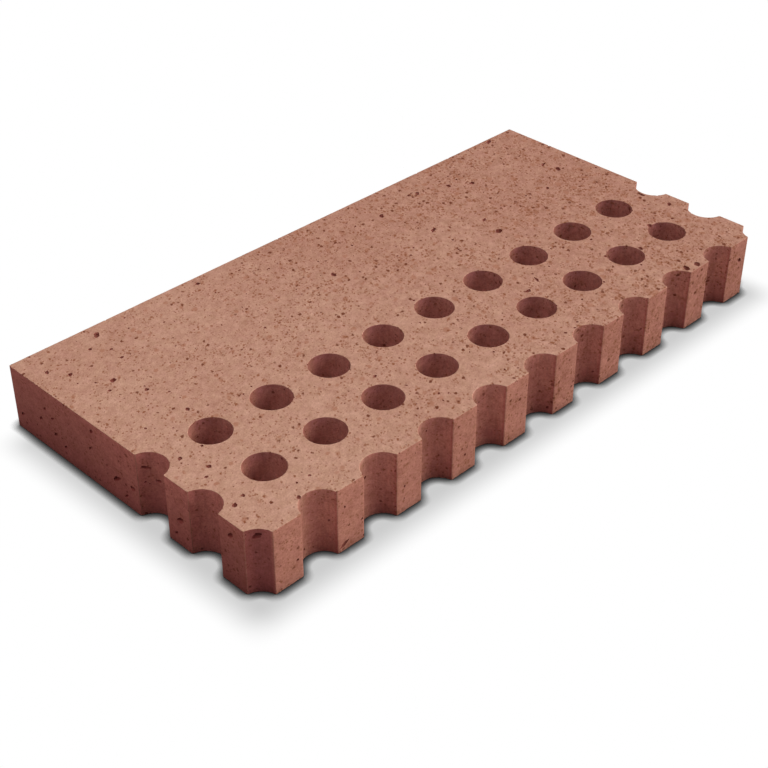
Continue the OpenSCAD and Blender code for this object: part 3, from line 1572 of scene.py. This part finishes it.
@dataclass(frozen=True)
class FiredClay:
    """Sandy fired clay: paler flat faces, edges and walls redder as painted shade, with dark grains all
    through.

    Lengths are in millimetres here. The body grows coarser from the left end to the right one.
    """

    # The plain clay of flat faces and of walls, from pale to deep over a range of slow noise. The walls'
    # redder tone is painted shade.
    face_pale: Colour = srgb(185, 140, 119)
    face_deep: Colour = srgb(173, 124, 105)
    wall_pale: Colour = srgb(185, 123, 104)
    wall_deep: Colour = srgb(168, 108, 92)
    flatness: Span = (0.2, 0.75)
    clouds: Clouds = Clouds(80, 3, 0.55, 0.0, 1.1)
    patches: Clouds = Clouds(13, 3, 0.6, 5.0, 0.9)
    deepening: Span = (0.45, 1.55)
    deeper_per_mm: float = 0.0012
    tints: Clouds = Clouds(7, 3, 0.6, 51.0)
    tint_range: Span = (0.3, 0.7)
    pinker: Colour = (1.0, 0.984, 1.008, 1.0)
    yellower: Colour = (1.0, 1.016, 0.988, 1.0)

    # The sandy grain, at the left end and at the right one, drawn out along a slant and calmer where fired.
    left_to_right: Span = (-280.0, 220.0)
    sand: Clouds = Clouds(1.3, 2, 0.7, 29.0, 0.82)
    sand_ease: float = 0.82
    blotches: Clouds = Clouds(3.4, 2, 0.6, 9.0, 0.62)
    smudges: Clouds = Clouds(8.5, 2, 0.6, 61.0, 0.55)
    smudging: Span = (0.8, 1.05)
    grain_hues: Triple = (0.87, 1.12, 1.28)
    # The sandy grain, at the left end and at the right one, drawn out along a slant and calmer where the
    # painted shade takes the most green.
    drawn_along: Triple = (0.5, 0.5, 0.0)
    drawn_share: float = 0.27
    calm_over: Span = (0.0, 0.3)
    calmest: float = 0.85

    # What the cutters and handling did to the colour, and the pits' dark tone, partly darker clay and
    # partly painted shade.
    streaks: Clouds = Clouds(2.2, 2, 0.6, 83.0, 0.32)
    streak_squeeze: Triple = (1.0, 1.0, 0.07)
    scuffs: Clouds = Clouds(5, 2, 0.5, 3.0)
    scuff_range: Span = (0.4, 0.6)
    scuff_share: float = 0.1
    worn_tone: Colour = srgb(196, 147, 126)
    hollow_tone: Colour = srgb(122, 56, 48)
    hollow_share: float = 0.85

    # The dark grains, from the fewest to the most over a range of noise, and from left to right.
    rust: Colour = srgb(160, 104, 80)
    grain_light: Colour = srgb(136, 81, 56)
    grain_dark: Colour = srgb(106, 54, 36)
    stain: Specks = Specks(6.0, 1.0, 2.6, 0.3, 97.0, 0.25, 0.7, 0.8)
    dust: Specks = Specks(2.1, 0.45, 0.85, 0.52, 11.0, 0.35, 0.9, 0.3)
    fine: Specks = Specks(3.3, 0.55, 1.2, 0.36, 37.0, 0.4, 1.0, 0.35)
    coarse: Specks = Specks(5.2, 0.7, 1.45, 0.24, 71.0, 0.65, 1.0, 0.35)
    drifts: Clouds = Clouds(60, 2, 0.6, 23.0)
    drift_crowds: Span = (0.65, 1.35)
    knots: Clouds = Clouds(12, 2, 0.6, 67.0)
    knot_crowds: Span = (0.3, 1.8)
    crowding_range: Span = (0.36, 0.66)
    end_crowds: Span = (0.9, 1.2)
    end_swells: Span = (0.92, 1.2)
    bored_crowd: float = 0.55
    bend_size: float = 1.7
    bend_reach: float = 2.4

    # The relief and the sheen.
    fine_relief: float = 0.5
    relief_strength: float = 0.35
    relief_height: float = 0.25 * MM
    roughness: Span = (0.82, 0.95)
    roughness_range: Span = (0.3, 0.7)
    specular: float = 0.12

    def bend(self, s: NodeSketch, where: Socket) -> Socket:
        """Shift each spot a little, so that grains aren't round.

        Args:
            s: The material being made.
            where: The spot in millimetres.

        Returns:
            The shifted spot.
        """
        inputs = {"Vector": where, "Scale": 1 / self.bend_size, "Detail": 2.0}
        warp = s.run("ShaderNodeTexNoise", inputs, "Color")
        centred = s.vector("SUBTRACT", warp, (0.5, 0.5, 0.5))
        return s.vector("ADD", where, s.scaled(centred, self.bend_reach))

    def drawn(self, s: NodeSketch, where: Socket) -> Socket:
        """Squeeze places along the slant between X and Y, so that grains come out a bit longer that way."""
        along = s.product(s.measure("DOT_PRODUCT", where, self.drawn_along), self.drawn_share)
        return s.vector("SUBTRACT", where, s.scaled((1.0, 1.0, 0.0), along))

    def rightness(self, s: NodeSketch, where: Socket) -> Socket:
        """Say how far a spot lies towards the right end, where the body is coarser, from 0 to 1."""
        return s.between(s.split(where)[0], *self.left_to_right)

    def streaked(self, s: NodeSketch, where: Socket) -> Socket:
        """Give the faint upright marks that the cutters drew down the holes and bites, around 0."""
        marks = self.streaks.swing(s, s.vector("MULTIPLY", where, self.streak_squeeze))
        return s.product(marks, s.attribute(Trait.BORED))

    def clay_tone(self, s: NodeSketch, where: Socket) -> tuple[Socket, Socket]:
        """Colour the plain clay by which way it faces, redder on walls as painted shade, and by slow
        clouds.

        Args:
            s: The material being made.
            where: The spot in millimetres.

        Returns:
            The colour before grain and specks, and how flat the surface lies, from 0 on walls to 1.
        """
        upward = s.split(s.run("ShaderNodeTexCoord", {}, "Normal"))[2]
        level = s.between(s.math("ABSOLUTE", upward), *self.flatness)
        spot = s.split(where)
        drift = s.product(s.math("ADD", spot[0], spot[1]), self.deeper_per_mm)
        cloudy = s.math("ADD", self.clouds.laid(s, where), self.patches.laid(s, where))
        deep_face = s.between(s.math("ADD", drift, cloudy), *self.deepening)
        face = s.mix(deep_face, self.face_pale, self.face_deep)
        wall = s.mix(s.between(cloudy, *self.deepening), self.wall_pale, self.wall_deep)
        wall = s.scaled(wall, s.math("ADD", 1.0, self.streaked(s, where)))
        tinted = s.between(self.tints.add(s, where), *self.tint_range)
        tint = s.mix(tinted, self.pinker, self.yellower)
        return s.mix(1.0, s.mix(level, wall, face), tint, "MULTIPLY"), level

    def grain(self, s: NodeSketch, where: Socket, right: Socket, calm: Socket) -> tuple[Socket, Socket]:
        """Add the sandy grain.

        Args:
            s: The material being made.
            where: The spot in millimetres.
            right: How far the spot lies towards the right end.
            calm: How strong the grain is there.

        Returns:
            How much red, green and blue change, around 1, and the finest grain's own pattern around 0.5.
        """
        sand = self.sand.add(s, where)
        sandy = s.span(right, self.sand.depth, self.sand_ease * self.sand.depth)
        grit = s.product(s.math("SUBTRACT", sand, 0.5), sandy)
        blotchy = s.math("ADD", self.blotches.swing(s, where), self.smudges.swing(s, where))
        uneven = s.math("ADD", s.product(blotchy, s.span(right, *self.smudging)), grit)
        hued = s.scaled(self.grain_hues, s.product(uneven, calm))
        return s.vector("ADD", ONES, hued), sand

    def specked(self, s: NodeSketch, where: Socket, bent: Socket, right: Socket) -> list[Socket]:
        """Find the dark grains, which lie in loose clusters and grow denser to the right.

        Args:
            s: The material being made.
            where: The spot in millimetres.
            bent: The same, shifted so that grains aren't round.
            right: How far the spot lies towards the right end.

        Returns:
            How strong the stains, the dust, the fine grains and the coarse grains are.
        """
        drifts = s.between(self.drifts.add(s, where), *self.crowding_range, *self.drift_crowds)
        knots = s.between(self.knots.add(s, where), *self.crowding_range, *self.knot_crowds)
        bored = s.span(s.attribute(Trait.BORED), 1.0, self.bored_crowd)
        crowd = s.product(drifts, knots, s.span(right, *self.end_crowds), bored)
        swell = s.span(right, *self.end_swells)
        sorts = (self.stain, self.dust, self.fine, self.coarse)
        return [specks.mask(s, bent, crowd, swell) for specks in sorts]

    def material(self) -> bpy.types.Material:
        """Build the finish as shader nodes.

        Returns:
            The finish.
        """
        material = bpy.data.materials.new("fired_clay")
        s = NodeSketch(material)
        where = s.place()
        right = self.rightness(s, where)
        clay, level = self.clay_tone(s, where)
        hollow = s.attribute(Trait.HOLLOW)
        flat = s.product(level, s.rest(hollow))
        # The walls' painted shade and light, left off the flat faces.
        lost = s.scaled(s.attribute(Trait.LOST), s.rest(flat))
        calm = s.between(s.split(lost)[1], *self.calm_over, 1.0, self.calmest)
        drawn = self.drawn(s, where)
        lift, sand = self.grain(s, drawn, right, calm)
        colour = s.vector("MULTIPLY", clay, lift)

        found = self.specked(s, where, self.bend(s, drawn), right)
        for mask, tone in zip(found, (self.rust, self.grain_light, self.grain_light, self.grain_dark)):
            colour = s.mix(s.product(mask, calm), colour, tone)

        scuffed = s.between(self.scuffs.add(s, where), *self.scuff_range)
        worn = s.product(s.attribute(Trait.WORN), scuffed, self.scuff_share)
        colour = s.mix(worn, colour, self.worn_tone)
        # Painted shade in the pits, over clay that is darker there.
        colour = s.mix(s.product(hollow, self.hollow_share), colour, self.hollow_tone)
        # Apply the walls' painted shade and light.
        colour = s.vector("MULTIPLY", colour, s.vector("SUBTRACT", ONES, lost))

        _, _, fine, coarse = found
        grains = s.math("MAXIMUM", s.product(fine, self.fine_relief), coarse)
        relief = {"Strength": self.relief_strength, "Distance": self.relief_height,
                  "Height": s.math("SUBTRACT", sand, grains)}
        s.show(s.run("ShaderNodeBsdfPrincipled", {
            "Base Color": colour,
            "Roughness": s.between(sand, *self.roughness_range, *self.roughness),
            "Specular IOR Level": self.specular,
            "Normal": s.run("ShaderNodeBump", relief),
        }))
        return material


@dataclass(frozen=True)
class PaleFloor:
    """A plain pale floor that looks white where nothing shades it, with a painted shadow close to the tile.
    To rays that aren't from the camera it glows as painted bounce light, with painted shade near the tile
    that drifts towards the left end.

    A reach that is a pair is for X and for Y.
    """

    bounce: float = 0.34
    bounce_reach: Span = (80 * MM, 14 * MM)
    bounce_drift: float = 18 * MM
    shade_reach: float = 37 * MM
    shade_depth: float = 0.395
    shade_inset: Span = (16 * MM, 34 * MM)
    contact: float = 8.6 * MM
    contact_power: float = 4.0
    contact_samples: int = 16

    def beyond(self, s: NodeSketch, low: np.ndarray, high: np.ndarray) -> Socket:
        """Say how far a spot of the floor lies outside an upright box, along X and along Y.

        Args:
            s: The material being made.
            low: The box's lowest corner in plan.
            high: Its highest corner in plan.

        Returns:
            A vector that is 0 inside the box.
        """
        middle, half = (low + high) / 2, (high - low) / 2
        spot = s.vector("SUBTRACT", s.run("ShaderNodeTexCoord", {}, "Object"), (*middle, 0.0))
        outside = s.vector("SUBTRACT", s.vector("ABSOLUTE", spot), (*half, 0.0))
        return s.vector("MAXIMUM", outside, (0.0, 0.0, 0.0))

    def shade(self, s: NodeSketch, sizes: TileSizes) -> Socket:
        """Add the painted soft shadow that is seen round the tile, and the painted dark line where it meets
        the floor.

        Args:
            s: The material being made.
            sizes: The tile that stands on it.

        Returns:
            How bright the floor looks, up to 1.
        """
        apart = s.split(self.beyond(s, sizes.low[:2], sizes.high[:2] - np.array(self.shade_inset)))
        across, along = (s.between(apart[axis], 0.0, self.shade_reach, 1.0, 0.0) for axis in (0, 1))
        soft = s.rest(s.product(across, along, self.shade_depth))
        inputs = {"Distance": self.contact}
        close = s.run("ShaderNodeAmbientOcclusion", inputs, "AO", samples=self.contact_samples)
        return s.product(soft, s.math("POWER", close, self.contact_power))

    def material(self, sizes: TileSizes) -> bpy.types.Material:
        """Build the floor's finish as shader nodes.

        Args:
            sizes: The tile that stands on it.

        Returns:
            The finish.
        """
        material = bpy.data.materials.new("pale_floor")
        s = NodeSketch(material)
        # Painted bounce light for rays that aren't from the camera, darker near the tile as painted shade.
        drift = np.array([-self.bounce_drift, 0.0])
        away = self.beyond(s, sizes.low[:2] + drift, sizes.high[:2] + drift)
        apart = s.measure("LENGTH", s.vector("DIVIDE", away, (*self.bounce_reach, 1.0)))
        bounced = s.between(apart, 0.0, 1.0, 0.0, self.bounce)
        seen = s.seen()
        level = s.math("ADD", s.product(seen, self.shade(s, sizes)), s.product(s.rest(seen), bounced))
        s.show(s.run("ShaderNodeEmission", {"Strength": level}))
        return material


# ---------------------------------------------------------------------------------------------------
# The tile
# ---------------------------------------------------------------------------------------------------


@dataclass
class BorderTile:
    """The one piece of the part: the slab, pored, worn and dressed."""

    sizes: TileSizes
    finish: FiredClay = FiredClay()
    neighbours: int = 4

    def build(self) -> bpy.types.Object:
        """Cut the pores into the body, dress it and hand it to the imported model's body.

        Returns:
            The finished piece.
        """
        body = TileBody(self.sizes).build()
        cutter = PitCutter(self.sizes)
        PoreScatter(self.sizes, cutter).scatter()
        piece = self.carved(body, cutter.build())
        ClayMap(self.sizes).unroll(piece.data)
        piece.data.materials.clear()
        piece.data.materials.append(self.finish.material())
        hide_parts(CAD_NODE)
        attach(piece, "root")
        log.info("%d pits cut", len(cutter.pits))
        return piece

    def carved(self, body: bpy.types.Object, pits: bpy.types.Object) -> bpy.types.Object:
        """Cut one mesh out of another and keep only the result.

        Args:
            body: What is cut.
            pits: What it is cut with.

        Returns:
            A new object with the cut mesh.
        """
        cut = body.modifiers.new("pits", "BOOLEAN")
        cut.operation = "DIFFERENCE"
        cut.object = pits
        cut.solver = "MANIFOLD"
        graph = bpy.context.evaluated_depsgraph_get()
        mesh = bpy.data.meshes.new_from_object(body.evaluated_get(graph), depsgraph=graph)
        self.heal_brims(mesh, body.data, self.crisp(mesh))
        for used in (body, pits):
            spent = used.data
            bpy.data.objects.remove(used)
            bpy.data.meshes.remove(spent)
        mesh.name = "border_tile_clay"
        return placed("border_tile_clay", mesh)

    def crisp(self, mesh: bpy.types.Mesh) -> np.ndarray:
        """Mark the brim of every pit sharp, so that the face around it stays evenly shaded.

        Args:
            mesh: The cut mesh.

        Returns:
            Which of its edges are brims.
        """
        edges = read(mesh.loops, "edge_index", np.int32)
        inside = np.repeat(in_hollows(mesh), read(mesh.polygons, "loop_total", np.int32))
        touches = np.zeros((2, len(mesh.edges)), bool)
        touches[0, edges[inside]] = True
        touches[1, edges[~inside]] = True
        brims = touches.all(axis=0)
        sharp = mesh.attributes.get("sharp_edge") or mesh.attributes.new("sharp_edge", "BOOLEAN", "EDGE")
        sharp.data.foreach_set("value", brims)
        return brims

    def heal_brims(self, mesh: bpy.types.Mesh, whole: bpy.types.Mesh, sharp: np.ndarray) -> None:
        """Carry what the walls' points hold over to the brims of their pits, where the cut leaves nothing.

        Args:
            mesh: The cut mesh.
            whole: The body's mesh, before the cut.
            sharp: Which edges of the cut mesh are brims.
        """
        brims = np.unique(read(mesh.edges, "vertices", np.int32, 2)[sharp])
        heights = read(mesh.vertices, "co", width=3)[brims, 2]
        low, high = float(self.sizes.low[2]), float(self.sizes.high[2])
        brims = brims[(heights > low + HAIR) & (heights < high - HAIR)]
        tree = sorted_places([vertex.co for vertex in whole.vertices])
        found = [tree.find_n(mesh.vertices[number].co, self.neighbours) for number in brims]
        near = np.array([[number for _, number, _ in group] for group in found])
        weights = 1 / (np.array([[gap for _, _, gap in group] for group in found]) + HAIR)
        weights /= weights.sum(axis=1, keepdims=True)
        for trait in ON_POINTS:
            values = trait.read(mesh)
            values[brims] = (trait.read(whole)[near] * weights[:, :, None]).sum(axis=1)
            trait.write(mesh, values)


# ---------------------------------------------------------------------------------------------------
# Studio
# ---------------------------------------------------------------------------------------------------


@dataclass(frozen=True)
class SoftLamp:
    """A large far-off lamp, given by how bright white looks under it and by where it hangs in degrees."""

    name: str
    level: float
    heading: float
    height: float
    spread: float
    distance: float = 2.0

    def hang(self) -> None:
        """Hang the lamp so that it shines at the tile."""
        data = bpy.data.lights.new(self.name, "SUN")
        data.energy = self.level * math.pi
        data.angle = math.radians(self.spread)
        turn, rise = math.radians(self.heading), math.radians(self.height)
        towards = Vector((math.cos(turn) * math.cos(rise), math.sin(turn) * math.cos(rise), math.sin(rise)))
        lamp = placed(self.name, data)
        lamp.rotation_euler = towards.to_track_quat("Z", "Y").to_euler()
        lamp.location = towards * self.distance


@dataclass
class Studio:
    """A plain pale floor, a soft key lamp, an even sky and the camera.

    The camera's azimuth is 0 where it looks along Y, and it aims at a spot on the top that is given as a
    share of the way from the middle to the right end and to the back.
    """

    sizes: TileSizes
    floor_side: float = 12.0
    azimuth: float = math.radians(-45)
    elevation: float = math.asin(1 / math.sqrt(3))
    distance: float = 1.1685
    lens: float = 71.12
    sensor: float = 36.0
    aim_share: Span = (-0.361, -0.531)
    key: SoftLamp = SoftLamp("key", 1.24, -30, 28, 70)
    fill: SoftLamp = SoftLamp("fill", 0.37, -175, 65, 40)
    sky_level: float = 0.08

    def build(self) -> None:
        """Make the floor, the lamps, the sky and the camera."""
        self.lay_floor()
        self.key.hang()
        self.fill.hang()
        self.light_sky()
        self.stand_camera()

    def lay_floor(self) -> None:
        """Lay the floor just under the tile."""
        half = self.floor_side / 2
        level = float(self.sizes.low[2])
        mesh = bpy.data.meshes.new("floor")
        corners = [(-half, -half, level), (half, -half, level), (half, half, level), (-half, half, level)]
        mesh.from_pydata(corners, [], [(0, 1, 2, 3)])
        floor = placed("floor", mesh)
        mesh.materials.append(PaleFloor().material(self.sizes))

    def light_sky(self) -> None:
        """Light everything evenly from all round, and show white where the sky itself is seen."""
        world = bpy.data.worlds.new("sky")
        bpy.context.scene.world = world
        s = NodeSketch(world)
        level = s.span(s.seen(), self.sky_level, 1.0)
        s.show(s.run("ShaderNodeBackground", {"Color": WHITE, "Strength": level}), "ShaderNodeOutputWorld")

    def stand_camera(self) -> None:
        """Stand the camera at the front left, looking down at the tile's top."""
        data = bpy.data.cameras.new("camera")
        data.lens = self.lens
        data.sensor_width = self.sensor
        camera = placed("camera", data)
        half = (self.sizes.high - self.sizes.low) / 2
        middle = (self.sizes.high + self.sizes.low) / 2
        aim = Vector(middle + half * (*self.aim_share, 1.0))
        flat = math.cos(self.elevation)
        back = Vector((math.sin(self.azimuth) * flat, -math.cos(self.azimuth) * flat,
                       math.sin(self.elevation)))
        camera.location = aim + back * self.distance
        camera.rotation_euler = back.to_track_quat("Z", "Y").to_euler()
        bpy.context.scene.camera = camera


def main() -> None:
    """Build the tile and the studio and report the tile."""
    logging.basicConfig(level=logging.INFO, format="%(name)s: %(message)s")
    bpy.context.scene.view_settings.view_transform = "Standard"
    sizes = TileSizes.from_record(frame["record"], *cad_box)
    tile = BorderTile(sizes).build()
    log.info("%s: %d faces", tile.name, len(tile.data.polygons))
    Studio(sizes).build()


if __name__ == "__main__":
    main()
